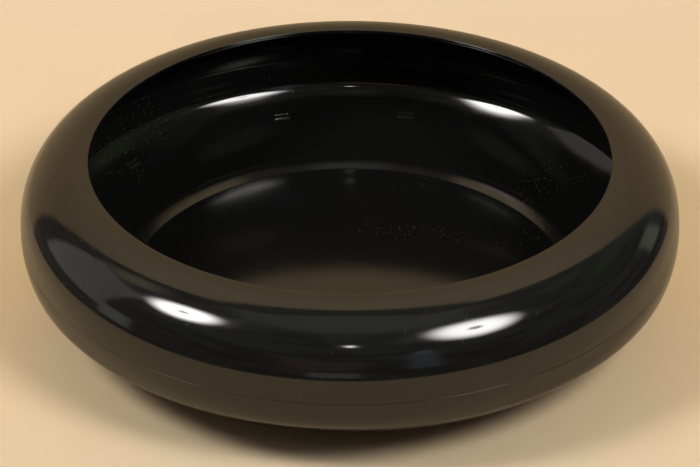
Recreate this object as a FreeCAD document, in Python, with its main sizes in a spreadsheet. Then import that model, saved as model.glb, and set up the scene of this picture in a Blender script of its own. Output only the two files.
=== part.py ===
import FreeCAD, Part
import math
import os
import Sketcher

# A wide, low bowl of black gloss plastic whose rim rolls inwards. It is moulded as two half shells
# that meet at the widest diameter, where a half-lap joint holds a thin film of cement.
# Millimetres, +Z up, origin at the centre of the foot, on the plane that the bowl stands on.

SIZES = {
    "outer_radius": "140",
    "bowl_height": "68.3",
    "crown_radius": "113",       # the circle along the top of the rolled rim
    "opening_radius": "110",     # the clear opening inside the lip
    "seam_height": "37.1",       # the widest diameter, where the shells meet
    "side_arc": "56",            # wall just above the seam
    "steep_arc": "36",           # wall just below the seam
    "turn_drop": "8",            # the tight turn's centre, below the seam
    "turn_arc": "9",             # tight turn from the steep wall into the flare
    "under_arc": "72.5",         # flared underside
    "foot_radius": "85",         # where the underside lifts off the table
    "foot_width": "6",
    "foot_depth": "1",
    "wall": "1.8",
    "floor_height": "2.8",
    "floor_radius": "95.4",      # the flat floor inside
    "bank_radius": "102",        # top of the low bank round the floor
    "bank_height": "5.85",
    "flare_arc": "61.5",         # inside of the flare, from the bank up to the turn
    "lip_rounding": "0.4",
    "tongue_height": "1.35",     # the lower shell's inner step, above the seam
    "tongue_width": "0.85",
    "cement_gap": "0.1",
    "seam_relief": "0.2",        # small chamfer on both outer edges of the seam
    "pad_length": "7",           # low moulded pads inside the lower shell
    "pad_width": "3.2",
    "pad_height": "0.2",
    "pad_root": "0.8",
    "pad_radius": "126.5",
}
PAD_AZIMUTHS = (78, 105, 142)    # degrees about Z from +X
SHEET_COLUMN = "B"

doc = FreeCAD.newDocument("go_stone_bowl")
sizes = doc.addObject("Spreadsheet::Sheet", "Sizes")
for row, (alias, number) in enumerate(SIZES.items(), start=1):
    sizes.set(f"A{row}", alias)
    sizes.set(f"{SHEET_COLUMN}{row}", number)
    sizes.setAlias(f"{SHEET_COLUMN}{row}", alias)
doc.recompute()

# Where the arcs of the outer profile meet. Above the seam a wall arc runs tangent into the arc that
# carries the crown. Below it a steep arc runs tangent into a tight turn, and the turn into the flare.
rim_reach = sizes.outer_radius - sizes.crown_radius
rim_rise = sizes.bowl_height - sizes.seam_height
rim_arc = (rim_reach**2 + rim_rise**2 - 2 * sizes.side_arc * rim_reach) / (2 * (rim_rise - sizes.side_arc))
rim_joint = math.atan2(rim_rise - rim_arc, sizes.side_arc - rim_reach)
steep_joint = math.asin(sizes.turn_drop / (sizes.steep_arc - sizes.turn_arc))
steep_across = sizes.outer_radius - sizes.steep_arc
turn_across = steep_across + (sizes.steep_arc - sizes.turn_arc) * math.cos(steep_joint)
turn_up = sizes.seam_height - sizes.turn_drop


def flare_centre(start, radius, turn_radius):
    """Centre of the arc that starts at a point and runs tangent into a turn about the turn's centre."""
    across, up = turn_across - start[0], turn_up - start[1]
    reach = math.hypot(across, up)
    swing = (reach**2 + radius**2 - (radius - turn_radius) ** 2) / (2 * reach * radius)
    lean = math.atan2(up, across) + math.acos(swing)
    return start[0] + radius * math.cos(lean), start[1] + radius * math.sin(lean)


def turn_joint(centre):
    """Angle below the horizontal at which a flare arc meets the turn."""
    return math.atan2(centre[1] - turn_up, turn_across - centre[0])


def body(label):
    """An empty body with its own label, at the part's origin."""
    new = doc.addObject("PartDesign::Body", label)
    new.Label = label
    new.Placement = FreeCAD.Placement()
    return new


def section(owner, name):
    """A sketch on the body's own upright XZ plane, for a half section to the right of Z."""
    plane = next(feature for feature in owner.Origin.OriginFeatures if feature.Role == "XZ_Plane")
    sketch = owner.newObject("Sketcher::SketchObject", name)
    sketch.AttachmentSupport = [(plane, "")]
    sketch.MapMode = "FlatFace"
    return sketch


def spot(across, up):
    """A point of a half section: distance from the axis and height."""
    return FreeCAD.Vector(across, up, 0)


def straight(start, end):
    """A straight side of a section."""
    return Part.LineSegment(start, end)


def arc(centre, radius, start, end):
    """A round side of a section, counter-clockwise between two angles in radians."""
    return Part.ArcOfCircle(Part.Circle(centre, FreeCAD.Vector(0, 0, 1), radius), start, end)


def close_outline(sketch, sides):
    """Adds the sides in order and ties each to the next: two arcs run on smoothly, the rest meet."""
    sketch.addGeometry(sides, False)
    for index, side in enumerate(sides):
        following = (index + 1) % len(sides)
        smooth = isinstance(side, Part.ArcOfCircle) and isinstance(sides[following], Part.ArcOfCircle)
        kind = "Tangent" if smooth else "Coincident"
        for end in (1, 2):
            for start in (1, 2):
                gap = sketch.getPoint(index, end) - sketch.getPoint(following, start)
                if gap.Length < 1e-4:
                    sketch.addConstraint(Sketcher.Constraint(kind, index, end, following, start))


def name_last(sketch, name, formula):
    """Names the newest dimension of a sketch and binds it to the sheet."""
    newest = len(sketch.Constraints) - 1
    sketch.renameConstraint(newest, name)
    sketch.setExpression(f"Constraints.{name}", formula)


def bind_radius(sketch, side, name, formula):
    """A radius that follows the sheet."""
    sketch.addConstraint(Sketcher.Constraint("Radius", side, sketch.Geometry[side].Radius))
    name_last(sketch, name, formula)


def bind_across(sketch, side, end, name, formula):
    """A distance from the axis that follows the sheet."""
    sketch.addConstraint(Sketcher.Constraint("DistanceX", side, end, sketch.getPoint(side, end).x))
    name_last(sketch, name, formula)


def bind_height(sketch, side, end, name, formula):
    """A height above the table that follows the sheet."""
    sketch.addConstraint(Sketcher.Constraint("DistanceY", side, end, sketch.getPoint(side, end).y))
    name_last(sketch, name, formula)


def level(sketch, *sides):
    """Keeps straight sides horizontal."""
    for side in sides:
        sketch.addConstraint(Sketcher.Constraint("Horizontal", side))


def upright(sketch, *sides):
    """Keeps straight sides vertical."""
    for side in sides:
        sketch.addConstraint(Sketcher.Constraint("Vertical", side))


def revolve(owner, sketch, name):
    """Turns a half section about the bowl's axis."""
    turned = owner.newObject("PartDesign::Revolution", name)
    turned.Profile = sketch
    turned.ReferenceAxis = (sketch, ["V_Axis"])
    turned.Angle = 360
    doc.recompute()
    return turned


def circles(feature, radius, height):
    """Names of the circular edges of a feature that have this radius and height."""
    found = []
    for number, edge in enumerate(feature.Shape.Edges, start=1):
        curve = edge.Curve
        round_edge = isinstance(curve, Part.Circle) and abs(curve.Radius - radius) < 0.02
        if round_edge and abs(curve.Center.z - height) < 0.02:
            found.append(f"Edge{number}")
    return found


# ---- lower_shell: floor, bank, foot ring, flared wall and the joint's tongue
lower_shell = body("lower_shell")
lower = section(lower_shell, "lower_section")

steep_centre = spot(steep_across, sizes.seam_height)
turn_centre = spot(turn_across, turn_up)
outer_flare = flare_centre((sizes.foot_radius, 0), sizes.under_arc, sizes.turn_arc)
inner_flare = flare_centre(
    (sizes.bank_radius, sizes.bank_height), sizes.flare_arc, sizes.turn_arc - sizes.wall
)
foot_angle = math.atan2(-outer_flare[1], sizes.foot_radius - outer_flare[0])
bank_angle = math.atan2(sizes.bank_height - inner_flare[1], sizes.bank_radius - inner_flare[0])
foot_inside = sizes.foot_radius - sizes.foot_width
inner_radius = sizes.outer_radius - sizes.wall
tongue_radius = inner_radius + sizes.tongue_width
tongue_top = sizes.seam_height + sizes.tongue_height

close_outline(lower, [
    arc(steep_centre, sizes.steep_arc, -steep_joint, 0),
    arc(turn_centre, sizes.turn_arc, -turn_joint(outer_flare), -steep_joint),
    arc(spot(*outer_flare), sizes.under_arc, foot_angle, -turn_joint(outer_flare)),
    straight(spot(sizes.foot_radius, 0), spot(foot_inside, 0)),
    straight(spot(foot_inside, 0), spot(foot_inside, sizes.foot_depth)),
    straight(spot(foot_inside, sizes.foot_depth), spot(0, sizes.foot_depth)),
    straight(spot(0, sizes.foot_depth), spot(0, sizes.floor_height)),
    straight(spot(0, sizes.floor_height), spot(sizes.floor_radius, sizes.floor_height)),
    straight(spot(sizes.floor_radius, sizes.floor_height), spot(sizes.bank_radius, sizes.bank_height)),
    arc(spot(*inner_flare), sizes.flare_arc, bank_angle, -turn_joint(inner_flare)),
    arc(turn_centre, sizes.turn_arc - sizes.wall, -turn_joint(inner_flare), -steep_joint),
    arc(steep_centre, sizes.steep_arc - sizes.wall, -steep_joint, 0),
    straight(spot(inner_radius, sizes.seam_height), spot(inner_radius, tongue_top)),
    straight(spot(inner_radius, tongue_top), spot(tongue_radius, tongue_top)),
    straight(spot(tongue_radius, tongue_top), spot(tongue_radius, sizes.seam_height)),
    straight(spot(tongue_radius, sizes.seam_height), spot(sizes.outer_radius, sizes.seam_height)),
])
(OUTER_STEEP, OUTER_TURN, OUTER_UNDER, FOOT_RING, FOOT_STEP, UNDERSIDE, AXIS, FLOOR, BANK,
 INNER_FLARE, INNER_TURN, INNER_STEEP, TONGUE_INSIDE, TONGUE_TOP, TONGUE_OUTSIDE,
 SHOULDER) = range(16)
level(lower, FOOT_RING, UNDERSIDE, FLOOR, TONGUE_TOP, SHOULDER)
upright(lower, FOOT_STEP, AXIS, TONGUE_INSIDE, TONGUE_OUTSIDE)
lower.addConstraint(Sketcher.Constraint("Coincident", INNER_STEEP, 3, OUTER_STEEP, 3))
lower.addConstraint(Sketcher.Constraint("Coincident", INNER_TURN, 3, OUTER_TURN, 3))
lower.addConstraint(Sketcher.Constraint("PointOnObject", FLOOR, 1, -2))
lower.addConstraint(Sketcher.Constraint("PointOnObject", FOOT_RING, 1, -1))
bind_radius(lower, OUTER_STEEP, "steep_radius", "Sizes.steep_arc")
bind_radius(lower, INNER_STEEP, "inner_steep_radius", "Sizes.steep_arc - Sizes.wall")
bind_radius(lower, OUTER_TURN, "turn_radius", "Sizes.turn_arc")
bind_radius(lower, OUTER_UNDER, "under_radius", "Sizes.under_arc")
bind_radius(lower, INNER_FLARE, "flare_radius", "Sizes.flare_arc")
bind_across(lower, OUTER_STEEP, 3, "steep_centre", "Sizes.outer_radius - Sizes.steep_arc")
bind_height(lower, OUTER_TURN, 3, "turn_height", "Sizes.seam_height - Sizes.turn_drop")
bind_across(lower, FOOT_RING, 1, "foot_outside", "Sizes.foot_radius")
bind_across(lower, BANK, 1, "floor_radius", "Sizes.floor_radius")
bind_across(lower, BANK, 2, "bank_radius", "Sizes.bank_radius")
bind_height(lower, BANK, 2, "bank_height", "Sizes.bank_height")
bind_across(lower, FOOT_RING, 2, "foot_inside", "Sizes.foot_radius - Sizes.foot_width")
bind_across(lower, TONGUE_OUTSIDE, 1, "tongue_radius",
            "Sizes.outer_radius - Sizes.wall + Sizes.tongue_width")
bind_height(lower, OUTER_STEEP, 3, "seam_height", "Sizes.seam_height")
bind_height(lower, SHOULDER, 2, "shoulder_height", "Sizes.seam_height")
bind_height(lower, INNER_STEEP, 2, "inner_shoulder_height", "Sizes.seam_height")
bind_height(lower, TONGUE_TOP, 1, "tongue_top", "Sizes.seam_height + Sizes.tongue_height")
bind_height(lower, FOOT_STEP, 2, "foot_depth", "Sizes.foot_depth")
bind_height(lower, FLOOR, 1, "floor_height", "Sizes.floor_height")
lower_turned = revolve(lower_shell, lower, "lower_turned")


def pad_placement(azimuth):
    """Seats a pad on the inner wall: its length runs round the bowl and its height along the normal."""
    slope = math.asin((sizes.pad_radius - inner_flare[0]) / sizes.flare_arc)
    height = inner_flare[1] - sizes.flare_arc * math.cos(slope)
    turn = FreeCAD.Rotation(FreeCAD.Vector(0, 0, 1), azimuth + 90)
    lean = FreeCAD.Rotation(FreeCAD.Vector(1, 0, 0), math.degrees(slope))
    angle = math.radians(azimuth)
    seat = FreeCAD.Vector(sizes.pad_radius * math.cos(angle), sizes.pad_radius * math.sin(angle), height)
    corner = FreeCAD.Vector(-sizes.pad_length / 2, -sizes.pad_width / 2, -sizes.pad_root)
    placement = FreeCAD.Placement(seat, turn * lean)
    return placement * FreeCAD.Placement(corner, FreeCAD.Rotation())


for azimuth in PAD_AZIMUTHS:
    pad = lower_shell.newObject("PartDesign::AdditiveBox", f"pad_{azimuth}")
    pad.setExpression("Length", "Sizes.pad_length")
    pad.setExpression("Width", "Sizes.pad_width")
    pad.setExpression("Height", "Sizes.pad_root + Sizes.pad_height")
    pad.Placement = pad_placement(azimuth)
    doc.recompute()


def relieve(owner, feature, name, radius, height):
    """Chamfers the outer edge of the seam."""
    cut = owner.newObject("PartDesign::Chamfer", name)
    cut.Base = (feature, circles(feature, radius, height))
    cut.setExpression("Size", "Sizes.seam_relief")
    doc.recompute()
    return cut


relieve(lower_shell, pad, "lower_seam_relief", sizes.outer_radius, sizes.seam_height)

# ---- upper_shell: the wall that rolls inwards to the lip, with the joint's outer skirt
upper_shell = body("upper_shell")
upper = section(upper_shell, "upper_section")

side_centre = spot(sizes.outer_radius - sizes.side_arc, sizes.seam_height)
rim_centre = spot(sizes.crown_radius, sizes.bowl_height - rim_arc)
inner_side_arc = sizes.side_arc - sizes.wall
inner_rim_arc = rim_arc - sizes.wall
lip_angle = math.pi / 2 + math.asin((sizes.crown_radius - sizes.opening_radius) / rim_arc)
skirt_radius = tongue_radius + sizes.cement_gap
skirt_end = sizes.seam_height + sizes.cement_gap
step_height = tongue_top + sizes.cement_gap
skirt_angle = math.asin(sizes.cement_gap / sizes.side_arc)
step_angle = math.asin((step_height - sizes.seam_height) / inner_side_arc)


def on_arc(centre, radius, angle):
    """The point of an arc at an angle."""
    return centre + FreeCAD.Vector(radius * math.cos(angle), radius * math.sin(angle), 0)


skirt_outside = on_arc(side_centre, sizes.side_arc, skirt_angle)
step_inside = on_arc(side_centre, inner_side_arc, step_angle)
close_outline(upper, [
    arc(side_centre, sizes.side_arc, skirt_angle, rim_joint),
    arc(rim_centre, rim_arc, rim_joint, lip_angle),
    straight(on_arc(rim_centre, rim_arc, lip_angle), on_arc(rim_centre, inner_rim_arc, lip_angle)),
    arc(rim_centre, inner_rim_arc, rim_joint, lip_angle),
    arc(side_centre, inner_side_arc, step_angle, rim_joint),
    straight(step_inside, spot(skirt_radius, step_height)),
    straight(spot(skirt_radius, step_height), spot(skirt_radius, skirt_end)),
    straight(spot(skirt_radius, skirt_end), skirt_outside),
])
OUTER_SIDE, OUTER_RIM, LIP, INNER_RIM, INNER_SIDE, STEP, SKIRT_INSIDE, SKIRT_END = range(8)
level(upper, STEP, SKIRT_END)
upright(upper, SKIRT_INSIDE)
upper.addConstraint(Sketcher.Constraint("Coincident", INNER_SIDE, 3, OUTER_SIDE, 3))
upper.addConstraint(Sketcher.Constraint("Coincident", INNER_RIM, 3, OUTER_RIM, 3))
upper.addConstraint(Sketcher.Constraint("PointOnObject", OUTER_RIM, 3, LIP))
bind_radius(upper, OUTER_SIDE, "side_radius", "Sizes.side_arc")
bind_radius(upper, INNER_SIDE, "inner_side_radius", "Sizes.side_arc - Sizes.wall")
bind_across(upper, OUTER_SIDE, 3, "side_centre", "Sizes.outer_radius - Sizes.side_arc")
bind_across(upper, OUTER_RIM, 3, "crown_radius", "Sizes.crown_radius")
bind_across(upper, LIP, 1, "opening_radius", "Sizes.opening_radius")
bind_across(upper, SKIRT_INSIDE, 1, "skirt_radius",
            "Sizes.outer_radius - Sizes.wall + Sizes.tongue_width + Sizes.cement_gap")
bind_height(upper, OUTER_SIDE, 3, "seam_height", "Sizes.seam_height")
bind_height(upper, SKIRT_END, 1, "skirt_end", "Sizes.seam_height + Sizes.cement_gap")
bind_height(upper, STEP, 2, "step_height",
            "Sizes.seam_height + Sizes.tongue_height + Sizes.cement_gap")
crown_point = upper.addGeometry(Part.Point(spot(sizes.crown_radius, sizes.bowl_height)), True)
upper.addConstraint(Sketcher.Constraint("PointOnObject", crown_point, 1, OUTER_RIM))
bind_across(upper, crown_point, 1, "crown_across", "Sizes.crown_radius")
bind_height(upper, crown_point, 1, "bowl_height", "Sizes.bowl_height")

upper_turned = revolve(upper_shell, upper, "upper_turned")
upper_relief = relieve(upper_shell, upper_turned, "upper_seam_relief", skirt_outside.x, skirt_end)

lip_top = on_arc(rim_centre, rim_arc, lip_angle)
lip_under = on_arc(rim_centre, inner_rim_arc, lip_angle)
lip_edges = circles(upper_relief, lip_top.x, lip_top.y) + circles(upper_relief, lip_under.x, lip_under.y)
rounded_lip = upper_shell.newObject("PartDesign::Fillet", "rounded_lip")
rounded_lip.Base = (upper_relief, lip_edges)
rounded_lip.setExpression("Radius", "Sizes.lip_rounding")
doc.recompute()

# ---- joint_cement: the thin film that fills the half-lap joint, with its edge at the foot of the seam
joint_cement = body("joint_cement")
film = section(joint_cement, "film_section")
film_outside = sizes.outer_radius - sizes.seam_relief
corners = [
    spot(film_outside, sizes.seam_height),
    spot(film_outside, skirt_end),
    spot(skirt_radius, skirt_end),
    spot(skirt_radius, step_height),
    spot(inner_radius, step_height),
    spot(inner_radius, tongue_top),
    spot(tongue_radius, tongue_top),
    spot(tongue_radius, sizes.seam_height),
]
close_outline(film, [straight(start, end) for start, end in zip(corners, corners[1:] + corners[:1])])
(FILM_EDGE, FILM_ROOF, FILM_OUTSIDE, FILM_TOP, FILM_INNER_EDGE, FILM_TONGUE, FILM_INSIDE,
 FILM_FLOOR) = range(8)
level(film, FILM_ROOF, FILM_TOP, FILM_TONGUE, FILM_FLOOR)
upright(film, FILM_EDGE, FILM_OUTSIDE, FILM_INNER_EDGE, FILM_INSIDE)
bind_across(film, FILM_EDGE, 1, "film_edge", "Sizes.outer_radius - Sizes.seam_relief")
bind_across(film, FILM_OUTSIDE, 1, "skirt_radius",
            "Sizes.outer_radius - Sizes.wall + Sizes.tongue_width + Sizes.cement_gap")
bind_across(film, FILM_INNER_EDGE, 1, "inner_edge", "Sizes.outer_radius - Sizes.wall")
bind_across(film, FILM_INSIDE, 1, "tongue_radius",
            "Sizes.outer_radius - Sizes.wall + Sizes.tongue_width")
bind_height(film, FILM_EDGE, 1, "seam_height", "Sizes.seam_height")
bind_height(film, FILM_ROOF, 1, "skirt_end", "Sizes.seam_height + Sizes.cement_gap")
bind_height(film, FILM_TOP, 1, "step_height",
            "Sizes.seam_height + Sizes.tongue_height + Sizes.cement_gap")
bind_height(film, FILM_TONGUE, 1, "tongue_top", "Sizes.seam_height + Sizes.tongue_height")
revolve(joint_cement, film, "film_turned")

# ---- checks, then one file for each piece
for item in doc.Objects:
    if "Invalid" in item.State or "Error" in item.State:
        raise SystemExit(f"{item.Name} did not recompute: {item.State}")
for sketch in (lower, upper, film):
    if sketch.solve() != 0 or not sketch.FullyConstrained:
        raise SystemExit(f"{sketch.Name} is not fully constrained")

pieces = (lower_shell, upper_shell, joint_cement)
os.makedirs("parts", exist_ok=True)
for piece in pieces:
    if piece.Shape.isNull() or not piece.Shape.isValid() or len(piece.Shape.Solids) != 1:
        raise SystemExit(f"{piece.Label} is not one valid solid")
    print(f"{piece.Label}: {piece.Shape.Volume:.0f} cubic mm")
for piece in pieces:
    piece.Shape.exportStep(f"parts/{piece.Label}.step")
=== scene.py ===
import math

import bpy
import numpy as np
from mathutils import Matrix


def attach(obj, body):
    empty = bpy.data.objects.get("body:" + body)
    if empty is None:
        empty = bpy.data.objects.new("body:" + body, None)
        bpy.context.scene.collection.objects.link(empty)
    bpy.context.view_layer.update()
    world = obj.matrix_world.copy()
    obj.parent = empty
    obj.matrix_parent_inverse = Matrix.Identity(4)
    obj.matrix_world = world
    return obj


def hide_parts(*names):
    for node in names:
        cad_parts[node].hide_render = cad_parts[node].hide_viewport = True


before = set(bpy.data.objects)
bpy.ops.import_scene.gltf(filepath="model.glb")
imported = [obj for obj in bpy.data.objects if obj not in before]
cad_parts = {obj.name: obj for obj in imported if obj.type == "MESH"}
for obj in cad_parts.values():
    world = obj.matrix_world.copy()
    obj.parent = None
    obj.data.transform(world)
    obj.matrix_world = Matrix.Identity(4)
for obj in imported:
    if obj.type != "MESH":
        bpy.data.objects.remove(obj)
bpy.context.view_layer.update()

# ---- camera: a long lens, in line with the bowl's middle and looking down into it from the front.
# It aims at a point on the bowl's axis, a little below the seam.
camera_elevation = math.radians(31.91)
camera_distance = 1.0528
aim_height = 0.02666
camera_data = bpy.data.cameras.new("camera")
camera_data.sensor_width = 36
camera_data.lens = 125.8
camera = bpy.data.objects.new("camera", camera_data)
camera.location = (
    0,
    -camera_distance * math.cos(camera_elevation),
    aim_height + camera_distance * math.sin(camera_elevation),
)
camera.rotation_euler = (math.pi / 2 - camera_elevation, 0, 0)
bpy.context.scene.collection.objects.link(camera)
bpy.context.scene.camera = camera

# ---- lower_shell: the bottom half of the bowl, one moulding in black gloss plastic. It has a flat floor
# over a shallow recess, a low bank round the floor, a foot ring, a flared wall, and a thin tongue along
# the inside of its top edge for the joint. Three low pads stand on the inside of the wall.
outer_radius = 0.140
seam_height = 0.0371
wall = 0.0018
steep_arc = 0.036
turn_drop = 0.008
turn_arc = 0.009
under_arc = 0.0725
foot_radius = 0.085
foot_inside = 0.079
foot_depth = 0.001
floor_height = 0.0028
floor_reach = 0.0954
bank_top = (0.102, 0.00585)
flare_arc = 0.0615
tongue_height = 0.00135
tongue_width = 0.00085
pad_length, pad_width, pad_height = 0.007, 0.0032, 0.0002
pad_slope_width = 0.001
pad_dip = 0.55
pad_radius = 0.1265
flare_end = 0.132
pad_azimuths = np.radians((78, 105, 142))
seam_rounding = 0.00018
seam_stray = 0.00005
stray_reach = 0.004
lower_columns = 420
# Spacing of the rows of faces along each stretch of the outline, and of the columns across a pad.
flat_rows, foot_rows, foot_step_rows, joint_rows = 0.006, 0.0015, 0.0006, 0.0005
under_rows, flare_rows, steep_rows, turn_rows = 0.0018, 0.0016, 0.0014, 0.0007
pad_rows, pad_rows_reach, pad_columns = 0.00028, 0.0022, 0.0003
trace_step = 2e-5
least_rounding = 4e-5


def straight(start, end, rows):
    """A straight stretch of an outline: the points between two ends, and the row spacing wanted."""
    start, end = np.array(start, float), np.array(end, float)
    count = max(2, int(np.hypot(*(end - start)) / trace_step))
    part = np.linspace(0, 1, count, endpoint=False)[:, None]
    return start + part * (end - start), np.full(count, rows)


def arc(centre, size, first, last, rows):
    """A round stretch of an outline: centre plus size times (cosine, sine) of the swept angle."""
    count = max(2, int(size * abs(last - first) / trace_step))
    angle = np.linspace(first, last, count, endpoint=False)
    swept = np.stack([centre[0] + size * np.cos(angle), centre[1] + size * np.sin(angle)], axis=1)
    return swept, np.full(count, rows)


def lengths(points):
    """How far each point is along its outline."""
    return np.concatenate([[0], np.cumsum(np.hypot(*np.diff(points, axis=0).T))])


def softened(points, corners):
    """Rounds the corners of an outline. Each point becomes the mean of the outline over a short length
    around it: the integral of the outline up to half the length ahead, less the integral up to half
    the length behind, over the length. The length is large only near the listed corners."""
    ends = np.stack([2 * points[0] - points[1], 2 * points[-1] - points[-2]])
    first = points[0] + (ends[0] - points[0]) * 1e3
    last = points[-1] + (ends[1] - points[-1]) * 1e3
    padded = np.concatenate([[first], points, [last]])
    along = lengths(padded)
    reach = np.full(len(points), least_rounding)
    for corner, size in corners:
        at = along[1:-1][np.argmin(np.hypot(*(points - corner).T))]
        reach = np.maximum(reach, size * np.clip(1.5 - np.abs(along[1:-1] - at) / size, 0, 1))
    middle = (padded[1:] + padded[:-1]) / 2 * np.diff(along)[:, None]
    total = np.concatenate([[[0, 0]], np.cumsum(middle, axis=0)])
    mean = []
    for axis in (0, 1):
        position = np.interp(along, along, padded[:, axis])
        ahead, behind = along[1:-1] + reach / 2, along[1:-1] - reach / 2
        sums = []
        for place in (ahead, behind):
            cell = np.clip(np.searchsorted(along, place) - 1, 0, len(along) - 2)
            part = place - along[cell]
            slope = (position[cell + 1] - position[cell]) / (along[cell + 1] - along[cell])
            sums.append(total[cell, axis] + part * position[cell] + part**2 * slope / 2)
        mean.append((sums[0] - sums[1]) / reach)
    return np.stack(mean, axis=1)


def outline(stretches, corners, turn=math.radians(7), finer=None):
    """Joins stretches, rounds the corners and picks the rows: one row for each row spacing of length
    and one for each turn of the outline. finer is (corner, half length, spacing) for a closer stretch."""
    points = np.concatenate([stretch[0] for stretch in stretches])
    spacing = np.concatenate([stretch[1] for stretch in stretches])
    points = softened(points, corners)
    along = lengths(points)
    heading = np.unwrap(np.arctan2(*np.gradient(points, axis=0).T[::-1]))
    if finer:
        near = np.abs(along - along[np.argmin(np.hypot(*(points - finer[0]).T))]) < finer[1]
        spacing = np.where(near, finer[2], spacing)
    effort = np.gradient(along) / spacing + np.abs(np.gradient(heading)) / turn
    effort = np.cumsum(effort)
    rows = np.interp(np.linspace(effort[0], effort[-1], int(effort[-1]) + 2), effort, along)
    return np.stack([np.interp(rows, along, points[:, axis]) for axis in (0, 1)], axis=1), rows


def turned(name, profile, azimuths, relief):
    """A profile turned about Z. The point of the profile at distance r and height z goes, at azimuth a,
    to (r cos a, r sin a, z), moved along the profile's own outward normal by relief(a, r, z). The
    solid lies on the left of the profile. Normals are the cross products of the surface's slopes.
    A profile that starts and ends on the axis is closed by a fan of triangles at each pole."""
    points, along = profile
    closed = np.hypot(*(points[0] - points[-1])) < 1e-4
    slope = np.gradient(points, along, axis=0)
    slope /= np.hypot(*slope.T)[:, None]
    lift = relief(azimuths[None, :], points[:, :1], points[:, 1:])
    across = points[:, :1] + slope[:, 1:] * lift
    up = points[:, 1:] - slope[:, :1] * lift
    place = np.stack([across * np.cos(azimuths), across * np.sin(azimuths), up + 0 * across], axis=2)
    around = np.concatenate([place[:, -1:], place, place[:, :1]], axis=1)
    angles = np.concatenate([azimuths[-1:] - 2 * np.pi, azimuths, azimuths[:1] + 2 * np.pi])
    normal = np.cross(np.gradient(around, angles, axis=1)[:, 1:-1], np.gradient(place, along, axis=0))
    if closed:
        place, normal = place[:-1], normal[:-1]
    count, width = place.shape[:2]
    numbers = np.arange(count * width).reshape(count, width)
    if not closed:
        numbers = np.clip(numbers - width + 1, 0, (count - 2) * width + 1)
    row, column = np.meshgrid(np.arange(count if closed else count - 1), np.arange(width), indexing="ij")
    above, beside = (row + 1) % count, (column + 1) % width
    corners = (row, column), (row, beside), (above, beside), (above, column)
    quads = np.stack([numbers[corner] for corner in corners], axis=2)
    if closed:
        faces = quads.reshape(-1, 4).tolist()
        place, normal = place.reshape(-1, 3), normal.reshape(-1, 3)
    else:
        bottom_fan, top_fan = quads[0][:, [0, 2, 3]], quads[-1][:, :3]
        faces = bottom_fan.tolist() + quads[1:-1].reshape(-1, 4).tolist() + top_fan.tolist()
        place = np.concatenate([place[0, :1], place[1:-1].reshape(-1, 3), place[-1, :1]])
        normal = np.concatenate([[(0, 0, -1)], normal[1:-1].reshape(-1, 3), [(0, 0, 1)]])
    mesh = bpy.data.meshes.new(name)
    mesh.from_pydata(place.tolist(), [], faces)
    mesh.shade_smooth()
    normal /= np.linalg.norm(normal, axis=1)[:, None]
    mesh.normals_split_custom_set_from_vertices(normal.tolist())
    piece = bpy.data.objects.new(name, mesh)
    bpy.context.scene.collection.objects.link(piece)
    return piece


steep_centre = (outer_radius - steep_arc, seam_height)
steep_joint = math.asin(turn_drop / (steep_arc - turn_arc))
turn_centre = (
    steep_centre[0] + (steep_arc - turn_arc) * math.cos(steep_joint),
    seam_height - turn_drop,
)


def flare_centre(start, size, turn_size):
    """Centre of the arc that starts at a point and runs tangent into a turn about the turn's centre."""
    across, up = turn_centre[0] - start[0], turn_centre[1] - start[1]
    reach = math.hypot(across, up)
    swing = (reach**2 + size**2 - (size - turn_size) ** 2) / (2 * reach * size)
    lean = math.atan2(up, across) + math.acos(swing)
    return start[0] + size * math.cos(lean), start[1] + size * math.sin(lean)


def angle_to(centre, point):
    """Angle of a point about a centre."""
    return math.atan2(point[1] - centre[1], point[0] - centre[0])


outer_flare = flare_centre((foot_radius, 0), under_arc, turn_arc)
inner_flare = flare_centre(bank_top, flare_arc, turn_arc - wall)
outer_joint = angle_to(outer_flare, turn_centre)
inner_joint = angle_to(inner_flare, turn_centre)
inner_radius = outer_radius - wall
tongue_radius = inner_radius + tongue_width
tongue_top = seam_height + tongue_height
pad_slope = math.asin((pad_radius - inner_flare[0]) / flare_arc)
pad_place = (pad_radius, inner_flare[1] - flare_arc * math.cos(pad_slope))

lower_outline = outline(
    [
        straight((0, foot_depth), (foot_inside, foot_depth), flat_rows),
        straight((foot_inside, foot_depth), (foot_inside, 0), foot_step_rows),
        straight((foot_inside, 0), (foot_radius, 0), foot_rows),
        arc(outer_flare, under_arc, angle_to(outer_flare, (foot_radius, 0)), outer_joint, under_rows),
        arc(turn_centre, turn_arc, outer_joint, -steep_joint, turn_rows),
        arc(steep_centre, steep_arc, -steep_joint, 0, steep_rows),
        straight((outer_radius, seam_height), (tongue_radius, seam_height), joint_rows),
        straight((tongue_radius, seam_height), (tongue_radius, tongue_top), joint_rows),
        straight((tongue_radius, tongue_top), (inner_radius, tongue_top), joint_rows),
        straight((inner_radius, tongue_top), (inner_radius, seam_height), joint_rows),
        arc(steep_centre, steep_arc - wall, 0, -steep_joint, steep_rows),
        arc(turn_centre, turn_arc - wall, -steep_joint, inner_joint, turn_rows),
        arc(inner_flare, flare_arc, inner_joint, angle_to(inner_flare, bank_top), flare_rows),
        straight(bank_top, (floor_reach, floor_height), joint_rows),
        straight((floor_reach, floor_height), (0, floor_height), flat_rows),
    ],
    [
        ((foot_inside, foot_depth), 0.0006),
        ((foot_inside, 0), 0.0008),
        ((foot_radius, 0), 0.0015),
        ((outer_radius, seam_height), seam_rounding),
        ((tongue_radius, seam_height), 0.0001),
        ((tongue_radius, tongue_top), 0.0002),
        ((inner_radius, tongue_top), 0.0003),
        (bank_top, 0.004),
        ((floor_reach, floor_height), 0.0005),
    ],
    finer=(pad_place, pad_rows_reach, pad_rows),
)


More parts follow.
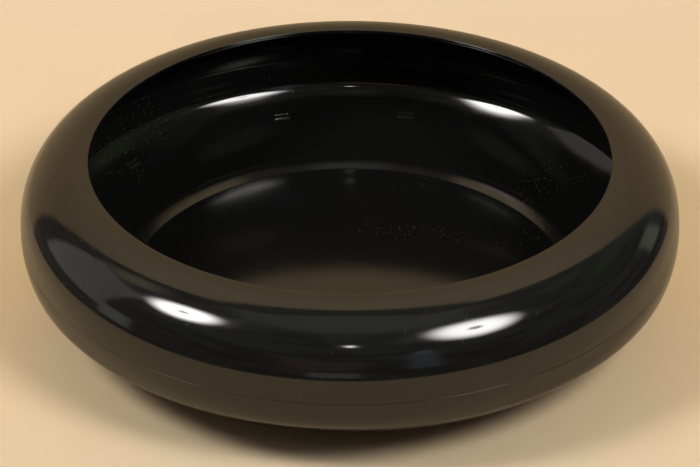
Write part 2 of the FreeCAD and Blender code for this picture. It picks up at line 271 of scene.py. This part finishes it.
def seam_drift(azimuths, phase):
    """How far the edge of a shell strays at the seam, from -1 to 1: a sum of sines of the azimuth."""
    waves = ((3, 0.4), (7, 0.3), (17, 0.2), (41, 0.1))
    return sum(size * np.sin(count * azimuths + phase * (count + 1)) for count, size in waves)


def lower_relief(azimuths, across, up):
    """The pads, each a rectangle with sloping sides that dips along its middle, and the stray of the
    edge at the seam, which dies away over a few millimetres below it."""
    lift = np.zeros(np.broadcast(azimuths, across).shape)
    off_flare = np.abs(np.hypot(across - inner_flare[0], up - inner_flare[1]) - flare_arc)
    inside = (across > bank_top[0]) & (across < flare_end) & (off_flare < wall / 2)
    for azimuth in pad_azimuths:
        sideways = np.abs((azimuths - azimuth + np.pi) % (2 * np.pi) - np.pi) * pad_radius
        upwards = np.hypot(across - pad_place[0], up - pad_place[1])
        edge = np.maximum(sideways - pad_length / 2, upwards - pad_width / 2)
        dip = 1 - pad_dip * np.clip(1.3 - upwards / (pad_width * 3 / 16), 0, 1)
        lift += pad_height * np.clip(0.5 - edge / pad_slope_width, 0, 1) * dip * inside
    near = np.clip(1 - (seam_height - up) / stray_reach, 0, 1) ** 2 * (across > inner_radius + wall / 2)
    return lift + seam_stray * near * seam_drift(azimuths, 1.3)


def grid(places, half_length, spacing):
    """Azimuths for the columns: even steps, with closer ones near each of the listed places."""
    even = np.linspace(0, 2 * np.pi, lower_columns, endpoint=False)
    close = [place + np.arange(-half_length, half_length, spacing) for place in places]
    far = np.ones(lower_columns, bool)
    for place in places:
        far &= np.abs((even - place + np.pi) % (2 * np.pi) - np.pi) > half_length
    return np.sort(np.concatenate([even[far], *close]))


lower_azimuths = grid(pad_azimuths, (pad_length / 2 + 0.001) / pad_radius, pad_columns / pad_radius)
lower_shell = turned("lower_shell_moulding", lower_outline, lower_azimuths, lower_relief)
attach(lower_shell, "root")
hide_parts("lower_shell")


class Wire:
    """An output socket in a node tree. An expression on wires adds its Math nodes."""

    def __init__(self, tree, socket=None):
        self.tree, self.socket = tree, socket

    def node(self, kind, settings=None, inputs=None, output=0):
        """Adds any node: its type, its settings, then a value or a wire for each of its sockets."""
        made = self.tree.nodes.new("ShaderNode" + kind)
        for name, value in (settings or {}).items():
            if name == "stops":
                ramp = made.color_ramp.elements
                for place, colour in value[1:-1]:
                    ramp.new(place)
                for stop, (place, colour) in zip(ramp, value):
                    stop.position, stop.color = place, (*colour, 1)
            else:
                setattr(made, name, value)
        for name, value in (inputs or {}).items():
            if isinstance(value, Wire):
                self.tree.links.new(value.socket, made.inputs[name])
            else:
                made.inputs[name].default_value = value
        return Wire(self.tree, made.outputs[output])

    def maths(self, operation, *values):
        """Adds a Math node on this wire and the values that follow it."""
        return self.node("Math", {"operation": operation}, dict(enumerate((self, *values))))

    def __add__(self, other):
        return self.maths("ADD", other)

    def __radd__(self, other):
        return self + other

    def __sub__(self, other):
        return self.maths("SUBTRACT", other)

    def __rsub__(self, other):
        return self.maths("MULTIPLY_ADD", -1.0, other)

    def __mul__(self, other):
        return self.maths("MULTIPLY", other)

    def __rmul__(self, other):
        return self * other

    def __truediv__(self, other):
        return self.maths("DIVIDE", other)

    def __gt__(self, other):
        return self.maths("GREATER_THAN", other)

    def within(self, low, high):
        """0 below low, 1 above high, and a smooth rise between them. low may be the larger."""
        inputs = {"Value": self, "From Min": low, "From Max": high}
        return self.node("MapRange", {"interpolation_type": "SMOOTHSTEP"}, inputs)

    def blend(self, first, second):
        """Mixes two colours, by this wire."""
        inputs = {0: self, 6: first, 7: second}
        return self.node("Mix", {"data_type": "RGBA"}, inputs, output=2)


def gloss_black(name, dust_seed, haze_height=0.0):
    """Black moulded plastic as it leaves a polished mould, then handled: a mirror-like gloss with faint
    smears, hairline scratches that catch the light, and specks of pale dust in patches. Below the haze
    height it has the duller gloss that wear leaves."""
    material = bpy.data.materials.new(name)
    material.use_nodes = True
    tree = material.node_tree
    shader = tree.nodes["Principled BSDF"]
    shader.inputs["IOR"].default_value = 1.59
    start = Wire(tree)
    place = start.node("TexCoord", output="Object")

    def noise(scale, detail=2.0, shift=(0, 0, 0), stretch=(1, 1, 1)):
        """Cloud noise, with its pattern moved and stretched."""
        moved = start.node("Mapping", {}, {"Vector": place, "Location": shift, "Scale": stretch})
        return start.node("TexNoise", {}, {"Vector": moved, "Scale": scale, "Detail": detail})

    level = start.node("SeparateXYZ", {}, {"Vector": place}, output="Z")
    floor_haze = 0.045 * level.within(haze_height + 0.0002, haze_height)
    smear = noise(14, 3, (dust_seed, 0, 0)).within(0.42, 0.72)
    fine_smear = noise(120, 2, (0, dust_seed, 0), (1, 1, 3)).within(0.45, 0.8)
    lines = []
    for turn, width in ((1.1, 0.0009), (2.3, 0.0010)):
        field = noise(34, 0.0, (turn, dust_seed, 3 * turn), (1 + 3 * abs(math.sin(turn)), 1, 2.2))
        broken = noise(95, 1, (turn + 7, 0, dust_seed)).within(0.62, 0.64)
        lines.append((field - 0.5).maths("ABSOLUTE").within(width, width / 3) * broken)
    scratch = lines[0].maths("MAXIMUM", lines[1])
    cells = {"Vector": place, "Scale": 800.0}
    away = start.node("TexVoronoi", {}, cells, output="Distance")
    pick = start.node("TexVoronoi", {}, cells, output="Color")
    pick = start.node("SeparateColor", {}, {"Color": pick})
    patch = noise(20, 3, (5 + dust_seed, 1, 2)).within(0.54, 0.66)
    speck = away.within(0.24 - 0.1 * pick, 0.14 - 0.08 * pick) * (pick > 0.45) * patch
    base = (scratch * 0.5).blend((0.0050, 0.0050, 0.0050, 1), (0.03, 0.03, 0.03, 1))
    base = speck.blend(base, (0.15, 0.145, 0.13, 1))
    rough = 0.07 + 0.04 * smear + 0.03 * fine_smear + 0.2 * scratch
    rough = rough + 0.5 * speck + floor_haze
    peel = noise(75, 1.5) * 0.5 + noise(22, 1) * 1.5
    height = peel * 0.00002 - scratch * 0.00001 + speck * 0.00003
    bump = start.node("Bump", {}, {"Height": height, "Strength": 0.35, "Distance": 1.0}, output="Normal")
    tree.links.new(base.socket, shader.inputs["Base Color"])
    tree.links.new(rough.socket, shader.inputs["Roughness"])
    tree.links.new(bump.socket, shader.inputs["Normal"])
    return material


lower_shell.data.materials.append(gloss_black("lower_shell_black", 0.0, floor_height + 0.0001))

# ---- joint_cement: solvent cement, laid in the half-lap joint between the shells and squeezed into a
# thin film. Its outer edge is the bottom of the fine groove at the seam, fuller here and emptier there.
cement_gap = 0.0001
seam_relief = 0.0002
film_rise = 0.0001
film_stray = 0.00009
film_columns = 420
film_rows = 0.0004
film_outside = outer_radius - seam_relief
skirt_radius = tongue_radius + cement_gap
skirt_end = seam_height + cement_gap
step_height = tongue_top + cement_gap
film_corners = [
    (outer_radius - 0.0006, seam_height),
    (film_outside, seam_height),
    (film_outside, skirt_end),
    (skirt_radius, skirt_end),
    (skirt_radius, step_height),
    (inner_radius, step_height),
    (inner_radius, tongue_top),
    (tongue_radius, tongue_top),
    (tongue_radius, seam_height),
]
film_outline = outline(
    [straight(a, b, film_rows) for a, b in zip(film_corners, film_corners[1:] + film_corners[:1])],
    [((film_outside, seam_height), 0.00008), ((film_outside, skirt_end), 0.00008)],
    turn=math.radians(30),
)


def film_relief(azimuths, across, up):
    """The stray of the film's outer edge, nearly flush with the shells in most places."""
    outer_edge = across > film_outside - film_rise
    return outer_edge * (film_rise + film_stray * seam_drift(azimuths, 0.4))


film_azimuths = np.linspace(0, 2 * np.pi, film_columns, endpoint=False)
cement_film = turned("cement_film", film_outline, film_azimuths, film_relief)
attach(cement_film, "root")
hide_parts("joint_cement")


def dried_cement(name):
    """Black solvent cement: duller than the plastic, with a lumpy skin."""
    material = bpy.data.materials.new(name)
    material.use_nodes = True
    tree = material.node_tree
    shader = tree.nodes["Principled BSDF"]
    start = Wire(tree)
    place = start.node("TexCoord", output="Object")
    lumps = start.node("TexNoise", {}, {"Vector": place, "Scale": 900.0, "Detail": 2.0})
    base = lumps.blend((0.004, 0.004, 0.004, 1), (0.014, 0.013, 0.012, 1))
    rough = 0.3 + 0.3 * lumps
    bump = start.node("Bump", {}, {"Height": lumps * 0.0001, "Strength": 0.5, "Distance": 1.0}, "Normal")
    tree.links.new(base.socket, shader.inputs["Base Color"])
    tree.links.new(rough.socket, shader.inputs["Roughness"])
    tree.links.new(bump.socket, shader.inputs["Normal"])
    return material


cement_film.data.materials.append(dried_cement("cement_black"))

# ---- upper_shell: the top half, moulded in the same plastic. Its wall rises from the seam, rolls over a
# full round crown and comes back level to a thin lip with rounded edges. An outer skirt laps the tongue.
bowl_height = 0.0683
crown_radius = 0.113
opening_radius = 0.110
side_arc = 0.056
lip_rounding = 0.0009
upper_columns = 560
shell_rows, lip_rows = 0.0013, 0.0003
rim_reach = outer_radius - crown_radius
rim_rise = bowl_height - seam_height
rim_arc = (rim_reach**2 + rim_rise**2 - 2 * side_arc * rim_reach) / (2 * (rim_rise - side_arc))
rim_joint = math.atan2(rim_rise - rim_arc, side_arc - rim_reach)
side_centre = (outer_radius - side_arc, seam_height)
rim_centre = (crown_radius, bowl_height - rim_arc)
lip_angle = math.pi / 2 + math.asin((crown_radius - opening_radius) / rim_arc)
skirt_angle = math.asin(cement_gap / side_arc)
step_angle = math.asin((step_height - seam_height) / (side_arc - wall))


def on_arc(centre, size, angle):
    """The point of an arc at an angle."""
    return (centre[0] + size * math.cos(angle), centre[1] + size * math.sin(angle))


start_angle = 1.0
skirt_outside = on_arc(side_centre, side_arc, skirt_angle)
step_inside = on_arc(side_centre, side_arc - wall, step_angle)
lip_top = on_arc(rim_centre, rim_arc, lip_angle)
lip_under = on_arc(rim_centre, rim_arc - wall, lip_angle)
upper_outline = outline(
    [
        arc(rim_centre, rim_arc, start_angle, lip_angle, shell_rows),
        straight(lip_top, lip_under, lip_rows),
        arc(rim_centre, rim_arc - wall, lip_angle, rim_joint, shell_rows),
        arc(side_centre, side_arc - wall, rim_joint, step_angle, shell_rows),
        straight(step_inside, (skirt_radius, step_height), joint_rows),
        straight((skirt_radius, step_height), (skirt_radius, skirt_end), joint_rows),
        straight((skirt_radius, skirt_end), skirt_outside, joint_rows),
        arc(side_centre, side_arc, skirt_angle, rim_joint, shell_rows),
        arc(rim_centre, rim_arc, rim_joint, start_angle, shell_rows),
    ],
    [
        (lip_top, lip_rounding),
        (lip_under, lip_rounding),
        (step_inside, 0.0003),
        ((skirt_radius, step_height), 0.0001),
        ((skirt_radius, skirt_end), 0.0002),
        (skirt_outside, seam_rounding),
    ],
)


def upper_relief(azimuths, across, up):
    """The stray of the skirt's edge at the seam, which dies away over a few millimetres above it."""
    near = np.clip(1 - (up - seam_height) / stray_reach, 0, 1) ** 2 * (across > inner_radius + wall / 2)
    return seam_stray * near * seam_drift(azimuths, 2.1)


upper_azimuths = np.linspace(0, 2 * np.pi, upper_columns, endpoint=False)
upper_shell = turned("upper_shell_moulding", upper_outline, upper_azimuths, upper_relief)
upper_shell.data.materials.append(gloss_black("upper_shell_black", 3.0))
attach(upper_shell, "root")
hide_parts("upper_shell")

# ---- table: a plain pale beige sheet. The bowl mirrors only the table's top, whose edge is near; a wide
# floor just above it, which only the camera sees, carries on to the horizon with painted light: tones
# brighter than the table's, darker towards the front and lighter towards the back.
table_radius = 0.39
floor_radius = 12.0
floor_lift = 0.00005
sheet_front = 0.13
sheet_depth = 0.40
table_tones = [(0.0, (0.57, 0.43, 0.255)), (1.0, (0.51, 0.375, 0.225))]
# The floor's tones are painted light: brighter than the table's, and darker at the front than at the back.
painted_light_floor_tones = [
    (0.0, (0.67, 0.525, 0.355)),
    (0.35, (0.79, 0.57, 0.325)),
    (0.6, (0.81, 0.61, 0.39)),
    (1.0, (0.91, 0.70, 0.49)),
]


def disc(name, size, height, sides=128):
    """A flat disc that faces up: one face, whose corners are size times (cosine, sine) of even angles."""
    angle = np.linspace(0, 2 * np.pi, sides, endpoint=False)
    place = np.stack([size * np.cos(angle), size * np.sin(angle), np.full(sides, height)], axis=1)
    mesh = bpy.data.meshes.new(name)
    mesh.from_pydata(place.tolist(), [], [list(range(sides))])
    made = bpy.data.objects.new(name, mesh)
    bpy.context.scene.collection.objects.link(made)
    return made


def beige_sheet(name, tones):
    """Matt beige paper, a little uneven in tone. tones run from its front to its back; the wide floor's
    tones are painted light and shade, brighter than the table's and darker towards the front.
    """
    material = bpy.data.materials.new(name)
    material.use_nodes = True
    tree = material.node_tree
    shader = tree.nodes["Principled BSDF"]
    shader.inputs["Specular IOR Level"].default_value = 0.15
    shader.inputs["Roughness"].default_value = 0.8
    start = Wire(tree)
    place = start.node("TexCoord", output="Object")
    cloud = start.node("TexNoise", {}, {"Vector": place, "Scale": 6.0, "Detail": 3.0})
    depth = start.node("SeparateXYZ", {}, {"Vector": place}, output="Y")
    fall = (depth + sheet_front) / sheet_depth + 0.2 * (cloud - 0.5)
    base = start.node("ValToRGB", {"stops": tones}, {"Fac": fall})
    tree.links.new(base.socket, shader.inputs["Base Color"])
    return material


table = disc("table", table_radius, 0.0)
table.data.materials.append(beige_sheet("table_sheet", table_tones))
table.visible_camera = False
wide_floor = disc("wide_floor", floor_radius, floor_lift)
wide_floor.data.materials.append(beige_sheet("floor_sheet_painted_light", painted_light_floor_tones))
wide_floor.visible_glossy = False
wide_floor.visible_diffuse = False
wide_floor.visible_shadow = False

# ---- studio: two soft round umbrellas high on the left and right, a small lamp in front, a beige backdrop
# behind and a dim, cluttered room. The gloss plastic mirrors all of it; the camera sees only a plain pale
# wall. Bearings run from behind the bowl (0) by the right (90) to the camera (180), in degrees.
lamp_distance = 1.3
lamp_target = np.array([0, 0, 0.05])
lamp_colour = (1.0, 0.985, 0.95, 1)
head_gap = 0.05
head_share = 0.12
world = bpy.data.worlds.new("studio")
bpy.context.scene.world = world
world.use_nodes = True
room = world.node_tree
sky = Wire(room)
towards = sky.node("TexCoord", output="Generated")
to_right, ahead, upwards = (
    sky.node("SeparateXYZ", {}, {"Vector": towards}, output=axis) for axis in ("X", "Y", "Z")
)
degrees = 180 / math.pi
bearing = to_right.maths("ARCTAN2", ahead) * degrees
height = upwards.maths("ARCSINE") * degrees
altitude = (height + 90) / 180
glow = sky.node(
    "ValToRGB",
    {
        "stops": [
            (0.0, (0.08, 0.07, 0.06)),
            (0.47, (0.10, 0.095, 0.085)),
            (0.56, (0.10, 0.10, 0.10)),
            (0.72, (0.13, 0.13, 0.13)),
            (0.875, (0.18, 0.18, 0.155)),
            (0.90, (0.31, 0.33, 0.25)),
            (1.0, (0.33, 0.34, 0.26)),
        ]
    },
    {"Fac": altitude},
)
flattened = sky.node("Mapping", {}, {"Vector": towards, "Scale": (1.0, 1.0, 3.0)})
clutter = sky.node("TexNoise", {}, {"Vector": flattened, "Scale": 2.6, "Detail": 4.0})
clutter = clutter.within(0.38, 0.62) * height.within(74, 60)
glow = (clutter * 0.8).blend(glow, (0.03, 0.03, 0.02, 1))


def shape(middle, half_width, level, half_height, soft):
    """A soft-edged upright rectangle on the room's wall, by bearing and height in degrees."""
    sideways = (bearing - middle).maths("WRAP", 180.0, -180.0).maths("ABSOLUTE")
    above = (height - level).maths("ABSOLUTE")
    return sideways.within(half_width + soft, half_width - soft) * above.within(
        half_height + soft, half_height - soft
    )


backdrop = sky.node(
    "ValToRGB",
    {
        "stops": [
            (0.0, (0.49, 0.345, 0.18)),
            (0.53, (0.49, 0.345, 0.18)),
            (0.66, (0.50, 0.34, 0.175)),
            (0.72, (0.61, 0.44, 0.245)),
            (0.80, (0.84, 0.63, 0.36)),
            (1.0, (0.88, 0.68, 0.39)),
        ]
    },
    {"Fac": altitude},
)
glow = shape(-1.5, 60, 71, 7, 2).blend(glow, (0.13, 0.11, 0.08, 1))
glow = shape(-1.5, 48.5, 0, 66, 2).blend(glow, backdrop)
cards = [
    (-76.5, 16.5, 22.5, 19.5, 1.5, (0.54, 0.51, 0.45)),     # pale panel
    (-67, 8, 50, 6, 5, (0.60, 0.56, 0.33)),                  # yellow light on the wall above the panel
    (-53.5, 4, 20, 22, 2, (0.10, 0.08, 0.06)),               # dark gap beside the backdrop
    (-72, 22, -4, 4, 2, (0.14, 0.11, 0.08)),                 # dark edge of the table
    (-99, 6.5, 3, 7, 2, (0.57, 0.57, 0.48)),                 # pale cloth
    (58.5, 5, 9, 8, 2, (0.42, 0.43, 0.335)),                 # pale box on the right
    (72, 7, 36, 5, 4, (0.10, 0.14, 0.04)),                   # green leaves on the right
    (-172, 12, 15, 7, 4, (0.20, 0.13, 0.10)),                # red-brown shelf
    (-175, 8, -1, 4, 2, (0.40, 0.40, 0.35)),                 # pale books
    (155, 2.5, 29, 3.5, 1.5, (0.60, 0.63, 0.68)),            # small window
    (156, 5, 17, 12, 3, (0.25, 0.27, 0.33)),                 # cool light under it
]
for middle, half_width, level, half_height, soft, colour in cards:
    glow = shape(middle, half_width, level, half_height, soft).blend(glow, (*colour, 1))
seen = sky.node("LightPath", output="Is Camera Ray")
glow = seen.blend(glow, (0.80, 0.66, 0.48, 1))
room.nodes["Background"].inputs["Strength"].default_value = 1.0
room.links.new(glow.socket, room.nodes["Background"].inputs["Color"])


def umbrella(name, bearing_degrees, height_degrees, spread, strength, head):
    """A soft light that faces the bowl: an eight-sided sheet that fades towards its edge, with or without
    a dark lamp head in front of it. spread is the angle it fills, from its middle."""
    turn, lift = math.radians(bearing_degrees), math.radians(height_degrees)
    out = np.array([math.sin(turn) * math.cos(lift), math.cos(turn) * math.cos(lift), math.sin(lift)])
    side = np.array([math.cos(turn), -math.sin(turn), 0])
    rise = np.cross(side, out)
    middle = lamp_target + out * lamp_distance

    def sheet_of(label, centre, size, material, sides):
        """A flat many-sided sheet, corners at size from its centre, with a map from -1 to 1 across it."""
        angle = np.linspace(0, 2 * np.pi, sides, endpoint=False) + math.pi / 8
        spot = centre + size * (np.cos(angle)[:, None] * side + np.sin(angle)[:, None] * rise)
        mesh = bpy.data.meshes.new(label)
        mesh.from_pydata(spot.tolist(), [], [list(range(sides))])
        chart = mesh.uv_layers.new(name="chart")
        flat = np.stack([np.cos(angle), np.sin(angle)], axis=1)
        chart.data.foreach_set("uv", flat.ravel())
        mesh.materials.append(material)
        made = bpy.data.objects.new(label, mesh)
        bpy.context.scene.collection.objects.link(made)
        made.visible_camera = False
        made.visible_shadow = False

    light = bpy.data.materials.new(name + "_light")
    light.use_nodes = True
    tree = light.node_tree
    tree.nodes.remove(tree.nodes["Principled BSDF"])
    start = Wire(tree)
    chart = start.node("UVMap", {"uv_map": "chart"})
    radius = start.node("VectorMath", {"operation": "LENGTH"}, {0: chart}, output="Value")
    power = strength * (1 - 0.55 * radius * radius) * radius.within(1.0, 0.45)
    emission = start.node("Emission", {}, {"Color": lamp_colour, "Strength": power})
    tree.links.new(emission.socket, tree.nodes["Material Output"].inputs["Surface"])
    reach = lamp_distance * math.tan(math.radians(spread))
    sheet_of(name, middle, reach, light, 8)
    if head:
        dark = bpy.data.materials.new(name + "_head")
        dark.use_nodes = True
        dark.node_tree.nodes["Principled BSDF"].inputs["Base Color"].default_value = (0.05, 0.05, 0.05, 1)
        sheet_of(name + "_head", middle - out * head_gap, reach * head_share, dark, 16)


umbrella("left_umbrella", -110.5, 47, 12.5, 27, head=True)
umbrella("right_umbrella", 130.5, 46.7, 15.5, 20, head=True)
umbrella("small_lamp", 180, 43.8, 2.0, 19, head=False)

bpy.context.scene.view_settings.view_transform = "Standard"
